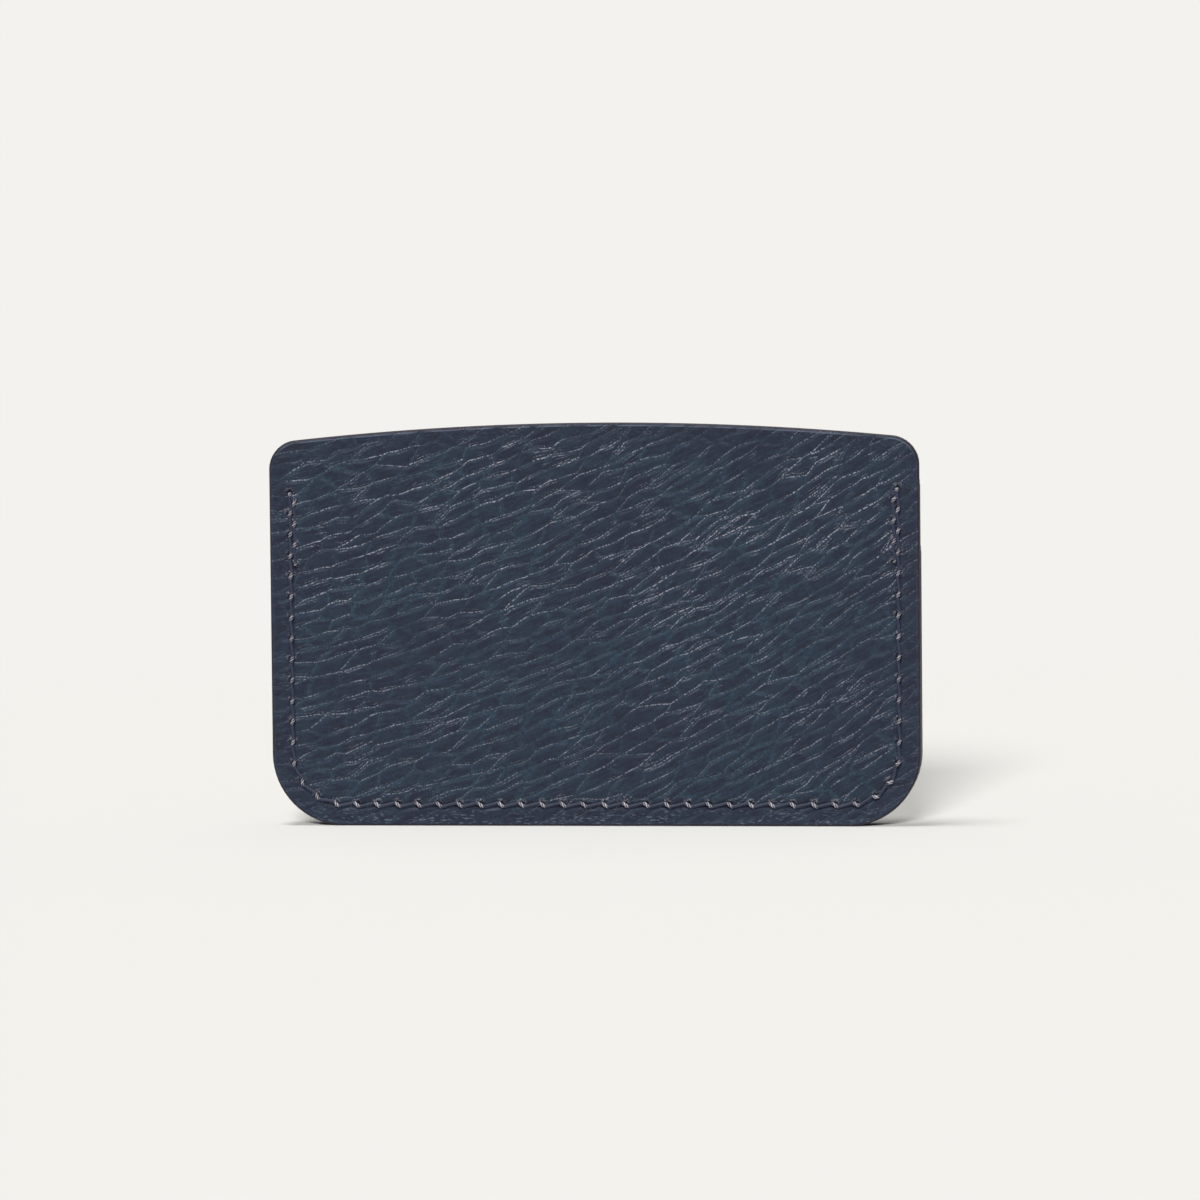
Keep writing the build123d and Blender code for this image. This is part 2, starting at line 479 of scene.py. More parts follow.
@dataclass(frozen=True)
class TumbledLeather:
    """Aniline-dyed navy cow hide, tumbled so that the grain breaks into cells.

    To the eye: near-black navy cells that turn teal beside the creases, in broad patches, and dotted pale
    lines on the raised lips of the creases, partly a scuffed finish and partly painted highlight. Painted
    shade sits in the needle holes, with painted highlights on the leather pushed up above them. The pores
    are drawn 0.35 mm wide, about three times their real width, so that they show.
    """

    name: str = "tumbled_navy_cowhide"
    grain: HideGrain = HideGrain()
    margin: MarginStreaksAndHighlight = MarginStreaksAndHighlight()
    cell: str = "25273B"
    cell_alternate: str = "293346"
    haze: str = "2F4658"
    # Pale colours of the crease lips and their dots: partly a scuffed finish, partly painted highlight.
    lip_wear_and_highlight: str = "606C7E"
    speck_wear_and_glint: str = "BFBCC9"
    # Painted shade in the needle holes.
    hole: str = "08080C"
    paint: str = "352E3B"
    roughness: float = 0.56

    # The relief in mm, over the distance to a crease.
    cell_rise: float = 0.13
    strand_rise: float = 0.05
    pore_rise: float = 0.02
    pore_size: float = 0.35
    dome: Ramp = Ramp(0.0, 0.8)
    crest: Ramp = Ramp(0.0, 0.40)
    near_crease: Ramp = Ramp(0.35, 1.3, 1.0, 0.15)

    # The pale lines over that distance, partly a scuffed finish and partly painted highlight; they are
    # painted strongest where they run with the rows, where the lips face up into the light.
    main_line: Ramp = Ramp(0.02, 0.15, 1.0, 0.0)
    twin_offset: float = 0.42
    twin_line: Ramp = Ramp(0.01, 0.12, 0.62, 0.0)
    fine_line: Ramp = Ramp(0.01, 0.13, 1.0, 0.0)
    main_way: Ramp = Ramp(0.84, 0.96, 0.22)
    fine_way: Ramp = Ramp(0.84, 0.98, 0.0, 0.62)
    doubled: Patches = Patches((6.0, 2.0), 0.46, 0.60, 21.7)
    dotted: Patches = Patches((0.32, 0.27), 0.40, 0.60, 7.7)
    broken: Patches = Patches((6.5, 2.6), 0.30, 0.58, 3.1, floor=0.26)
    handled: Patches = Patches((24.0, 17.0), 0.32, 0.60, 31.9, floor=0.55)
    # The lines grow stronger towards the top.
    upper: Ramp = Ramp(2.0, 60.0, 0.75, 1.12)
    undotted: float = 0.25
    fleck_power: float = 1.6
    lip_share: float = 0.46
    fleck_share: float = 0.80

    # The teal haze beside the creases, and the slow change of the cells' own colour.
    mottle: Patches = Patches((0.55, 0.5), 0.35, 0.65, 15.1, detail=2.0, floor=0.2)
    hairline: Ramp = Ramp(0.0, 0.14, 1.0, 0.0)
    beside_crease: Ramp = Ramp(0.15, 0.85, 0.85, 0.16)
    region: Patches = Patches((20.0, 13.0), 0.30, 0.62, 11.3, floor=0.5)
    tone: Patches = Patches((3.0, 1.8), 0.3, 0.7, 5.9, detail=4.0)

    # What the seam and the cut edge do to it.
    pressed: Ramp = Ramp(2.2, 3.6, 0.35)
    grit: Ramp = Ramp(0.42, 0.62)
    paint_start: float = 0.34
    paint_full: float = 0.18

    def lines(
        self, tree: NodeTree, x: NodeSocket, z: NodeSocket, doubled: NodeSocket
    ) -> tuple[NodeSocket, NodeSocket, dict[str, NodeSocket]]:
        """The pale lips of the creases, partly a scuffed finish and partly painted highlight, and the
        distances that the rest of the pattern follows.

        Args:
            tree: The node tree.
            x: Socket across, in mm.
            z: Socket upwards, in mm.
            doubled: Socket of the field where creases come in pairs.

        Returns:
            The lines' strength, the nearness of a main crease, and the distances named main and fine.
        """
        gap, along = self.grain.rows.creases(tree, x, z)
        fine_gap, fine_along = self.grain.strands.creases(tree, x, z)
        near = self.near_crease.of(tree, gap)
        off_twin = put(tree, MATH, fold(tree, "SUBTRACT", gap, self.twin_offset), operation="ABSOLUTE")
        twin = fold(tree, "MULTIPLY", self.twin_line.of(tree, off_twin), doubled)
        main = fold(tree, "MAXIMUM", self.main_line.of(tree, gap), twin)
        main = fold(tree, "MULTIPLY", main, self.main_way.of(tree, along))
        fine = (self.fine_line.of(tree, fine_gap), near, doubled, self.fine_way.of(tree, fine_along))
        lines = fold(tree, "MAXIMUM", main, fold(tree, "MULTIPLY", *fine))
        return lines, near, {"main": gap, "fine": fine_gap}

    def fields(self, tree: NodeTree, position: NodeSocket) -> dict[str, NodeSocket]:
        """The grain's pattern, the same for the relief of the mesh and for the colours.

        Args:
            tree: A shader or geometry node tree.
            position: Socket with the place in metres.

        Returns:
            Sockets named relief, lip_wear_and_highlight, haze, tone and fleck.
        """
        x, z = self.grain.place(tree, position)
        doubled, dotted = self.doubled.of(tree, x, z), self.dotted.of(tree, x, z)
        lines, near, gap = self.lines(tree, x, z, doubled)

        coarse = fold(tree, "MULTIPLY", self.dome.of(tree, gap["main"]), self.cell_rise)
        fine = fold(tree, "MULTIPLY", near, self.strand_rise)
        relief = put(tree, MATH, self.crest.of(tree, gap["fine"]), fine, coarse, operation="MULTIPLY_ADD")

        # How strong the pale lines are: partly a scuffed finish, partly painted highlight.
        kept = (self.broken.of(tree, x, z), self.handled.of(tree, x, z), self.upper.of(tree, z))
        wear_and_highlight = fold(tree, "MULTIPLY", lines, *kept)
        thinned = put(tree, MATH, dotted, 1 - self.undotted, self.undotted, operation="MULTIPLY_ADD")
        # Bright dots on the lines: partly a scuffed finish, partly painted glints.
        fleck = put(tree, MATH, fold(tree, "MULTIPLY", wear_and_highlight, dotted), self.fleck_power, operation="POWER")

        hairline = fold(tree, "MULTIPLY", self.hairline.of(tree, gap["fine"]), dotted)
        # A teal tint beside the main creases and along the fine strands, in broad patches.
        glow = fold(tree, "MULTIPLY", self.beside_crease.of(tree, gap["main"]), self.mottle.of(tree, x, z))
        glow = fold(tree, "MAXIMUM", glow, hairline)
        return {
            "relief": relief,
            "lip_wear_and_highlight": fold(tree, "MULTIPLY", wear_and_highlight, thinned),
            "haze": fold(tree, "MULTIPLY", glow, self.region.of(tree, x, z)),
            "tone": self.tone.of(tree, x, z),
            "fleck": fleck,
        }

    def material(self) -> Material:
        """The leather's material, with its painted edge where the rim attribute says so."""
        made, tree, position, spot = blank_material(self.name)
        pattern = self.fields(tree, position)
        rim, hole_shade, pucker_highlight = (
            put(tree, MADE_FOR, attribute_name=name, out="Fac") for name in ("rim", "hole_shade", "pucker_highlight")
        )
        pressed = self.pressed.of(tree, rim)
        haze = fold(tree, "MULTIPLY", pattern["haze"], pressed)
        # The pale lines, with the margin's streaks and its painted top-edge highlight.
        lip_wear_and_highlight = fold(tree, "MULTIPLY", pattern["lip_wear_and_highlight"], self.lip_share, pressed)
        lip_wear_and_highlight = fold(tree, "MAXIMUM", lip_wear_and_highlight, self.margin.of(tree, spot, rim))
        # The bright dots, with painted highlights on the leather pushed up above each needle hole.
        grit = self.grit.of(tree, put(tree, NOISE, spot, named={"Scale": 3.2}))
        fleck = fold(tree, "MULTIPLY", pattern["fleck"], pressed, self.fleck_share)
        fleck = fold(tree, "MAXIMUM", fleck, fold(tree, "MULTIPLY", pucker_highlight, grit))
        paint_limits = {1: self.paint_full, 2: self.paint_start, 3: 1.0, 4: 0.0}
        painted = put(tree, RANGE, rim, named=paint_limits)
        colour = coats(
            tree,
            self.cell,
            (pattern["tone"], self.cell_alternate),
            (haze, self.haze),
            (lip_wear_and_highlight, self.lip_wear_and_highlight),
            (fleck, self.speck_wear_and_glint),
            # painted shade in the needle holes
            (hole_shade, self.hole),
            (painted, self.paint),
        )
        pores = put(tree, NOISE, spot, named={"Scale": 1 / self.pore_size, "Detail": 3.0, "Roughness": 0.6})
        fine = put(tree, MATH, pores, self.pore_rise, pattern["relief"], operation="MULTIPLY_ADD")
        level = fold(tree, "MULTIPLY", fine, fold(tree, "SUBTRACT", 1.0, painted))
        normal = put(tree, BUMP, named={"Strength": 0.55, "Distance": MM, "Height": level})
        limits = {1: 0.3, 2: 0.7, 3: self.roughness - 0.06, 4: self.roughness + 0.1}
        shine = put(tree, RANGE, pores, named=limits)
        looks = {"Base Color": colour, "Roughness": shine, "Normal": normal, "IOR": 1.45}
        dress(tree, {**looks, "Specular IOR Level": 0.35})
        return made

    def relief_group(self, name: str, side: Side) -> NodeTree:
        """A geometry node group that raises the grain on a sheet's good face.

        Args:
            name: The group's name.
            side: The way the face looks.

        Returns:
            The group.
        """
        group = bpy.data.node_groups.new(name, "GeometryNodeTree")
        for way in ("INPUT", "OUTPUT"):
            group.interface.new_socket("Geometry", in_out=way, socket_type="NodeSocketGeometry")
        shape = put(group, "NodeGroupInput")
        pattern = self.fields(group, put(group, "GeometryNodeInputPosition"))
        keep = put(group, "GeometryNodeInputNamedAttribute", "relief_share", data_type="FLOAT")
        level = fold(group, "SUBTRACT", pattern["relief"], self.cell_rise + self.strand_rise)
        offset = put(group, JOIN, None, fold(group, "MULTIPLY", level, keep, side.value * MM))
        moved = put(group, "GeometryNodeSetPosition", shape, named={"Offset": offset})
        group.links.new(moved, group.nodes.new("NodeGroupOutput").inputs[0])
        return group


@dataclass(frozen=True)
class SkiverLining:
    """Split and buffed navy lining leather, 0.3 mm thin: matt, with a fine even nap and no cells."""

    name: str = "skiver_lining"
    base: str = "24283A"
    pale_coat: str = "2E3346"
    nap_size: float = 0.25
    cloud_size: float = 8.0

    def material(self) -> Material:
        """The lining's material."""
        made, tree, _, spot = blank_material(self.name)
        nap = put(tree, NOISE, spot, named={"Scale": 1 / self.nap_size, "Detail": 4.0, "Roughness": 0.65})
        cloud = put(tree, NOISE, spot, named={"Scale": 1 / self.cloud_size, "Detail": 2.0})
        blend = fold(tree, "MULTIPLY", nap, cloud)
        share = put(tree, RANGE, blend, named={1: 0.12, 2: 0.42, 3: 0.0, 4: 1.0})
        normal = put(tree, BUMP, named={"Strength": 0.4, "Distance": 0.03 * MM, "Height": nap})
        colour = coats(tree, self.base, (share, self.pale_coat))
        dress(tree, {"Base Color": colour, "Roughness": 0.72, "Normal": normal, "IOR": 1.45})
        return made


@dataclass(frozen=True)
class PaintedEdge:
    """Leather welt with its cut edge sealed by rolled-on edge paint: smooth, dark plum and half glossy."""

    name: str = "edge_painted_welt"
    base: str = "2E2A3A"
    thin: str = "3D3846"
    roll_size: float = 1.6

    def material(self) -> Material:
        """The welt's material."""
        made, tree, _, spot = blank_material(self.name)
        roll = put(tree, NOISE, spot, named={"Scale": 1 / self.roll_size, "Detail": 3.0, "Roughness": 0.5})
        share = put(tree, RANGE, roll, named={1: 0.35, 2: 0.65, 3: 0.0, 4: 1.0})
        normal = put(tree, BUMP, named={"Strength": 0.5, "Distance": 0.05 * MM, "Height": roll})
        colour = coats(tree, self.base, (share, self.thin))
        dress(tree, {"Base Color": colour, "Roughness": 0.42, "Normal": normal, "IOR": 1.5})
        return made


@dataclass(frozen=True)
class BondedThread:
    """Bonded polyester sewing thread, three plies twisted: tone on tone navy, with a silky gloss, painted
    shade between the plies and painted highlights on their crests and where it crosses the holes.
    """

    name: str = "bonded_navy_thread"
    # Painted shade in the grooves between the plies, and painted highlight on their crests.
    groove_shade: str = "171A2B"
    ply: str = "484E68"
    # Painted highlight at the crossings over the needle holes.
    wear_and_highlight: str = "E8E0EC"
    fibre_size: float = 0.12
    lit: Ramp = Ramp(0.30, 1.10)

    def material(self) -> Material:
        """The thread's material; it reads the ply attribute for the painted highlight on the crests and the
        glint_share attribute for the painted highlight at the crossings.
        """
        made, tree, _, spot = blank_material(self.name)
        crest, glint_share = (put(tree, MADE_FOR, attribute_name=name, out="Fac") for name in ("ply", "glint_share"))
        fibre = put(tree, NOISE, spot, named={"Scale": 1 / self.fibre_size, "Detail": 2.0})
        # Painted highlight on the ply crests and painted shade in the grooves between them.
        lift = put(tree, MATH, fibre, 0.5, crest, operation="MULTIPLY_ADD")
        share = self.lit.of(tree, lift)
        # The painted highlight at the crossings.
        pale_coat = fold(tree, "MULTIPLY", share, glint_share)
        normal = put(tree, BUMP, named={"Strength": 0.3, "Distance": 0.02 * MM, "Height": fibre})
        colour = coats(tree, self.groove_shade, (share, self.ply), (pale_coat, self.wear_and_highlight))
        looks = {"Base Color": colour, "Roughness": 0.5, "Normal": normal, "IOR": 1.5}
        dress(tree, {**looks, "Specular IOR Level": 0.4})
        return made


def blank_material(name: str) -> tuple:
    """A new material without nodes but for the place on the object.

    Args:
        name: The material's name.

    Returns:
        The material, its node tree, and the sockets of the place in metres and in mm.
    """
    made = bpy.data.materials.new(name)
    made.use_nodes = True
    tree = made.node_tree
    tree.nodes.clear()
    position = put(tree, "ShaderNodeTexCoord", out="Object")
    return made, tree, position, put(tree, VECTOR, position, (1 / MM,) * 3, operation="MULTIPLY")


def dress(tree: NodeTree, inputs: dict) -> None:
    """Adds the surface shader and the output.

    Args:
        tree: The material's node tree.
        inputs: The shader's inputs, by name.
    """
    surface = put(tree, "ShaderNodeBsdfPrincipled", named=inputs)
    tree.links.new(surface, tree.nodes.new("ShaderNodeOutputMaterial").inputs["Surface"])


# ---------------------------------------------------------------------------------------- pieces


def finish_piece(bm: BMesh, name: str, material: Material) -> Object:
    """Turns a mesh made in mm into a smooth-shaded piece in metres, dressed in one material.

    Args:
        bm: The mesh, which is freed.
        name: The piece's name.
        material: Its material.

    Returns:
        The new object, at the origin.
    """
    bmesh.ops.scale(bm, vec=(MM, MM, MM), verts=bm.verts)
    for face in bm.faces:
        face.smooth = True
    mesh = bpy.data.meshes.new(name)
    bm.to_mesh(mesh)
    bm.free()
    mesh.materials.append(material)
    made = bpy.data.objects.new(name, mesh)
    bpy.context.collection.objects.link(made)
    return made


def once(items: Iterable) -> list:
    """The items without repeats, in the order in which they first come, so that every run is the same."""
    return list(dict.fromkeys(items))


def only(kind: type, items: list) -> list:
    """The items of one kind among an operator's results."""
    return [item for item in items if isinstance(item, kind)]


def whole(faces: list) -> list:
    """Some faces with their edges and vertices."""
    edges = once(edge for face in faces for edge in face.edges)
    verts = once(vert for face in faces for vert in face.verts)
    return [*verts, *edges, *faces]


def turn_outwards(bm: BMesh) -> None:
    """Turns the faces of a closed mesh so that all of them look outwards."""
    bmesh.ops.recalc_face_normals(bm, faces=bm.faces)
    if bm.calc_volume(signed=True) < 0:
        bmesh.ops.reverse_faces(bm, faces=bm.faces)


def declare(piece: Object, node: str, slot: str) -> Object:
    """Lets a finished piece ride on the holder and stand for its CAD node.

    Args:
        piece: The piece.
        node: The CAD node.
        slot: The node's material slot; not used.

    Returns:
        The piece.
    """
    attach(piece, BODY)
    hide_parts(node)
    LOG.info("%s: %d faces", piece.name, len(piece.data.polygons))
    return piece


def settle(piece: Object) -> None:
    """Applies a piece's modifiers to its mesh."""
    ready = piece.evaluated_get(bpy.context.evaluated_depsgraph_get())
    old = piece.data
    piece.data = bpy.data.meshes.new_from_object(ready)
    piece.modifiers.clear()
    name = old.name
    bpy.data.meshes.remove(old)
    piece.data.name = name


@dataclass(frozen=True)
class Pressing:
    """How the seam and its holes mark the leather, in mm: a channel and hollows, with painted shade in
    the holes and painted highlights on the leather pushed up above them.
    """

    channel_depth: float = 0.30
    channel_width: float = 0.55
    past_end: float = 1.2
    grain_lost: float = 0.7
    hollow_depth: float = 0.35
    hollow_width: float = 0.42
    hollow_shift: tuple[float, float] = (-0.08, 0.16)
    # The painted shade in each hole, and the painted highlight on the leather pushed up above it.
    hole_shade_width: float = 0.36
    hole_shade_strength: float = 1.3
    pucker_reach: float = 0.58
    pucker_width: float = 0.20
    edge_smooth: float = 0.35
    edge_fade: float = 0.8

    @staticmethod
    def bell(off: float, width: float) -> float:
        """A smooth bump, 1 in the middle, for a distance from it and a width."""
        return math.exp(-((off / width) ** 2))


@dataclass
class Sheet:
    """One flat layer of leather, cut to an outline, with its edge rounded and painted.

    It is modelled with its good face at y = 0 looking towards -Y, and then put in its place.
    """

    node: str
    name: str
    slot: str
    outline: Outline
    side: Side
    near: float
    far: float
    spacing: float
    edge_round: float = 0.3
    seam: SeamLine | None = None
    pressing: Pressing = Pressing()

    @property
    def thickness(self) -> float:
        """The layer's thickness."""
        return self.far - self.near

    def face(self) -> BMesh:
        """The good face as a fine grid, trimmed to the outline less the rounded edge."""
        inset = self.edge_round
        wide = self.outline.width - 2 * inset
        high = self.outline.height - 2 * inset
        bm = bmesh.new()
        stand = Matrix.Translation((0, 0, inset + high / 2)) @ Matrix.Rotation(math.pi / 2, 4, "X")
        stretch = Matrix.Diagonal((wide / 2, high / 2, 1, 1))
        bmesh.ops.create_grid(
            bm,
            x_segments=round(wide / self.spacing),
            y_segments=round(high / self.spacing),
            size=1.0,
            matrix=stand @ stretch,
        )
        for part, cuts in self.outline.cuts(inset).items():
            self.trim(bm, part, cuts)
        bmesh.ops.remove_doubles(bm, verts=self.rim_verts(bm), dist=0.15 * self.spacing)
        return bm

    def region(self, part: str, x: float, z: float) -> bool:
        """Whether a place may be touched by the cuts of one round part."""
        outline, slack = self.outline, 2 * self.spacing
        if part == "crown":
            return z > outline.side_top - 2 * outline.upper_radius - slack
        radius = outline.lower_radius if part.startswith("lower") else outline.upper_radius
        level = z < radius + slack if part.startswith("lower") else z > outline.side_top - radius - slack
        way = -1 if part.endswith("left") else 1
        return level and way * x > outline.half - radius - slack

    def trim(self, bm: BMesh, part: str, cuts: list[tuple[Vector, Vector]]) -> None:
        """Cuts one round part of the outline.

        Args:
            bm: The face.
            part: The round part's name.
            cuts: Its cuts, each a point and an outward direction.
        """
        faces = [f for f in bm.faces if self.region(part, f.calc_center_median().x, f.calc_center_median().z)]
        geom = whole(faces)
        for point, out in cuts:
            cut = bmesh.ops.bisect_plane(
                bm,
                geom=geom,
                dist=1e-5,
                plane_co=(point.x, 0, point.y),
                plane_no=(out.x, 0, out.y),
                use_snap_center=False,
                clear_outer=True,
                clear_inner=False,
            )
            geom = cut["geom"]

    @staticmethod
    def rim_verts(bm: BMesh) -> list[BMVert]:
        """The vertices along the open edge."""
        return once(vert for edge in bm.edges if edge.is_boundary for vert in edge.verts)

    def edge_steps(self) -> list[tuple[float, float]]:
        """The section of the rounded edge: each step outwards and back, from the good face to the back."""
        radius, quarter = self.edge_round, 4
        steps = []
        for number in range(quarter):
            a = math.pi / 2 * number / quarter
            b = math.pi / 2 * (number + 1) / quarter
            steps.append((radius * (math.sin(b) - math.sin(a)), radius * (math.cos(a) - math.cos(b))))
        back = min(radius, 0.45 * self.thickness)
        steps.append((0.0, self.thickness - radius - back if self.thickness > radius + back else 0.001))
        steps += [(-0.3 * back, 0.7 * back), (-0.7 * back, 0.3 * back)]
        return steps

    def wrap(self, bm: BMesh, rim: BMLayerItem) -> None:
        """Grows the rounded edge and the back from the face's open edge.

        Args:
            bm: The face.
            rim: The float layer that holds each vertex's distance to the edge.
        """
        ring = [edge for edge in bm.edges if edge.is_boundary]
        for outward, back in self.edge_steps():
            grown = bmesh.ops.extrude_edge_only(bm, edges=ring)["geom"]
            verts = only(BMVert, grown)
            fresh = set(verts)
            ring = [edge for edge in only(BMEdge, grown) if fresh.issuperset(edge.verts)]
            for vert in verts:
                gap, out = self.outline.measure(vert.co.x, vert.co.z)
                vert.co += Vector((out.x * outward, back, out.y * outward))
                vert[rim] = gap - outward if outward > 0 else -0.5
        bmesh.ops.edgeloop_fill(bm, edges=ring)

    def press(
        self, bm: BMesh, rim: BMLayerItem, share: BMLayerItem, hole_shade: BMLayerItem, pucker_highlight: BMLayerItem
    ) -> None:
        """Sinks the seam's channel and its needle holes into the face, and notes where the grain stays.

        Args:
            bm: The face.
            rim: Layer for the distance to the edge.
            share: Layer for how much of the grain's relief is kept.
            hole_shade: Layer for the painted shade in the needle holes.
            pucker_highlight: Layer for the painted highlight on the leather that each hole pushes up above
                it.
        """
        marks, holes = self.pressing, self.hole_tree()
        shift_x, shift_z = marks.hollow_shift
        for vert in bm.verts:
            gap, _ = self.outline.measure(vert.co.x, vert.co.z)
            vert[rim] = gap
            vert[share] = min(max((gap - marks.edge_smooth) / marks.edge_fade, 0.0), 1.0)
            if self.seam is None:
                continue
            level = min(max((self.seam.top + marks.past_end - vert.co.z) / marks.past_end, 0.0), 1.0)
            channel = marks.bell(gap - self.seam.margin, marks.channel_width) * level
            hole, number, reach = holes.find(vert.co - Vector((shift_x, 0, shift_z)))
            uneven = 0.35 + 0.65 * (number * 5 % 7) / 6
            lifted = max(0.0, (vert.co.z - hole.z) / max(reach, 0.1)) * uneven
            # A painted highlight on the leather pushed up above the hole, uneven from hole to hole.
            vert[pucker_highlight] = lifted * marks.bell(reach - marks.pucker_reach, marks.pucker_width)
            hollow = marks.bell(reach, marks.hollow_width)
            vert.co.y += marks.channel_depth * channel + marks.hollow_depth * hollow
            # Painted shade in the needle hole.
            vert[hole_shade] = min(1.0, marks.hole_shade_strength * marks.bell(reach, marks.hole_shade_width))
            vert[share] *= 1 - marks.grain_lost * channel

    def hole_tree(self) -> kdtree.KDTree:
        """The needle holes that this layer shows, ready to be searched."""
        holes = self.seam.holes() if self.seam else []
        tree = kdtree.KDTree(len(holes))
        for number, hole in enumerate(holes):
            tree.insert((-self.side.value * hole.x, 0, hole.y), number)
        tree.balance()
        return tree

    def place(self, bm: BMesh) -> None:
        """Moves the finished sheet from y = 0 to its own layer."""
        if self.side is Side.REAR:
            bmesh.ops.translate(bm, vec=(0, self.near, 0), verts=bm.verts)
        else:
            bmesh.ops.rotate(bm, cent=(0, 0, 0), matrix=Matrix.Rotation(math.pi, 3, "Z"), verts=bm.verts)
            bmesh.ops.translate(bm, vec=(0, self.far, 0), verts=bm.verts)

    def build(self, material: Material, relief: NodeTree | None = None) -> Object:
        """Makes the sheet and lets it stand for its CAD node.

        Args:
            material: The leather's material.
            relief: The node group that raises the grain, if the sheet has one.

        Returns:
            The piece.
        """
        bm = self.face()
        layers = bm.verts.layers.float
        rim, share, hole_shade, pucker_highlight = (layers.new(name) for name in ("rim", "relief_share", "hole_shade", "pucker_highlight"))
        self.press(bm, rim, share, hole_shade, pucker_highlight)
        self.wrap(bm, rim)
        self.place(bm)
        piece = finish_piece(bm, self.name, material)
        if relief is not None:
            piece.modifiers.new("grain", "NODES").node_group = relief
            settle(piece)
        return declare(piece, self.node, self.slot)


@dataclass
class Welt:
    """A U-shaped strip that keeps a pocket open, swept down one side, along the bottom and up the other."""

    node: str
    name: str
    outline: Outline
    near: float
    far: float
    strip: float = 5.51
    edge_round: float = 0.18

    def section(self, bm: BMesh) -> list[BMFace]:
        """The strip's cross-section at its left mouth, as one face with softened corners."""
        half = self.outline.half
        grid = bmesh.ops.create_grid(bm, x_segments=1, y_segments=1, size=0.5)
        verts = grid["verts"]
        bmesh.ops.scale(bm, vec=(self.strip, self.far - self.near, 1), verts=verts)
        middle = (self.strip / 2 - half, (self.near + self.far) / 2, self.outline.side_top)
        bmesh.ops.translate(bm, vec=middle, verts=verts)
        bmesh.ops.bevel(
            bm, geom=verts, offset=self.edge_round, segments=3, profile=0.5, affect="VERTICES", material=-1
        )
        return list(bm.faces)

    def build(self, material: Material) -> Object:
        """Sweeps the strip and lets it stand for its CAD node."""
        bm = bmesh.new()
        outline = self.outline
        ends = self.section(bm)
        corner = outline.lower_corner
        straight = outline.side_top - corner.y
        for centre_x, after in ((-corner.x, 2 * corner.x), (corner.x, straight)):
            if centre_x < 0:
                ends = self.run(bm, ends, Vector((0, 0, -straight)))
            spun = bmesh.ops.spin(
                bm,
                geom=whole(ends),
                cent=(centre_x, 0, corner.y),
                axis=(0, 1, 0),
                angle=-math.pi / 2,
                steps=14,
                use_duplicate=False,
            )
            ends = only(BMFace, spun["geom_last"])
            way = Vector((1, 0, 0)) if centre_x < 0 else Vector((0, 0, 1))
            ends = self.run(bm, ends, way * after)
        inner = [face for face in bm.faces if all(len(edge.link_faces) > 2 for edge in face.edges)]
        bmesh.ops.delete(bm, geom=inner, context="FACES_ONLY")
        turn_outwards(bm)
        return declare(finish_piece(bm, self.name, material), self.node, "welt_leather")

    def run(self, bm: BMesh, faces: list, way: Vector) -> list:
        """Extrudes the section straight on and returns its new end."""
        grown = bmesh.ops.extrude_face_region(bm, geom=faces)["geom"]
        bmesh.ops.translate(bm, vec=way, verts=only(BMVert, grown))
        return only(BMFace, grown)


